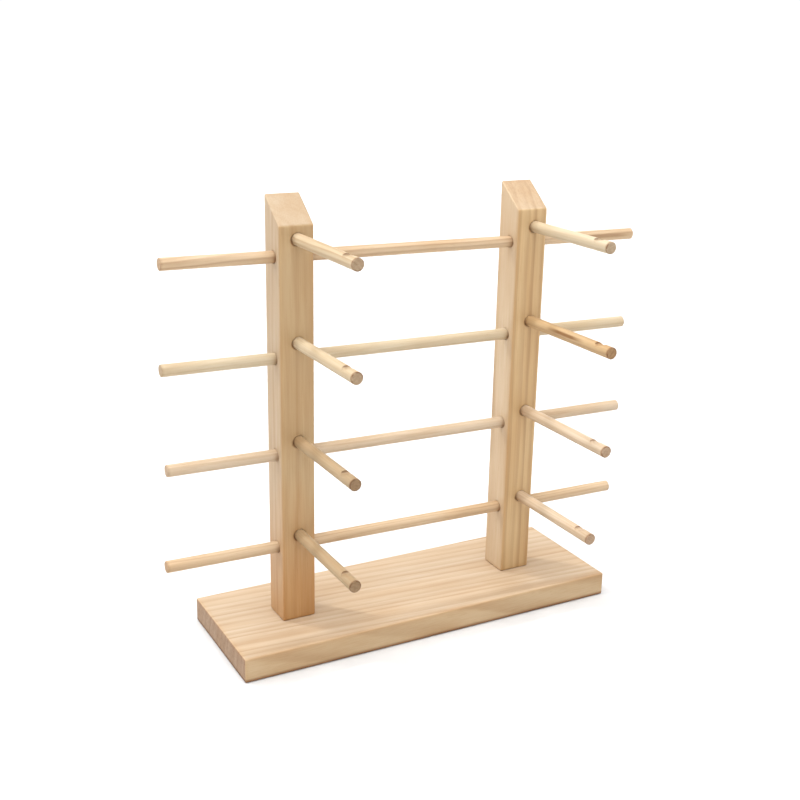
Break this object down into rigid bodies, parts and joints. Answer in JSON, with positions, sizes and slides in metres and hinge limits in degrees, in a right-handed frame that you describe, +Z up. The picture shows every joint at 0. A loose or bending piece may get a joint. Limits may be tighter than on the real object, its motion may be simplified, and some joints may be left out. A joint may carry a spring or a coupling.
{
  "type": "eyewear display rack",
  "caption": "Table-top wooden rack for glasses: posts on a flat base board hold level notched pegs at the front and long round rails behind them.",
  "frame": {"origin": "centre of the base board's underside, on the surface that the rack stands on", "axes": "+X along the board and the rails, to the right as seen from the pegs' side; +Y to the back, away from the pegs' tips; +Z up along the posts"},
  "size_m": [0.376, 0.162, 0.32],
  "materials": {
    "board": "unfinished pine, sanded, straight grain along the board, end grain at its two ends",
    "post": "unfinished pine, sanded, grain along the post, end grain on the slanted top",
    "rail": "unfinished softwood dowel, smooth, grain along its length, sawn ends",
    "peg": "unfinished softwood dowel, smooth, darker sawn tips",
    "screw": "zinc-plated steel wood screw with a cross recess"
  },
  "bodies": {
    "root": {"base_board": "board", "left_post": "post", "right_post": "post", "bottom_rail": "rail", "lower_rail": "rail", "upper_rail": "rail", "top_rail": "rail", "left_bottom_peg": "peg", "left_lower_peg": "peg", "left_upper_peg": "peg", "left_top_peg": "peg", "right_bottom_peg": "peg", "right_lower_peg": "peg", "right_upper_peg": "peg", "right_top_peg": "peg", "left_front_screw": "screw", "left_rear_screw": "screw", "right_front_screw": "screw", "right_rear_screw": "screw"}
  },
  "joints": []
}
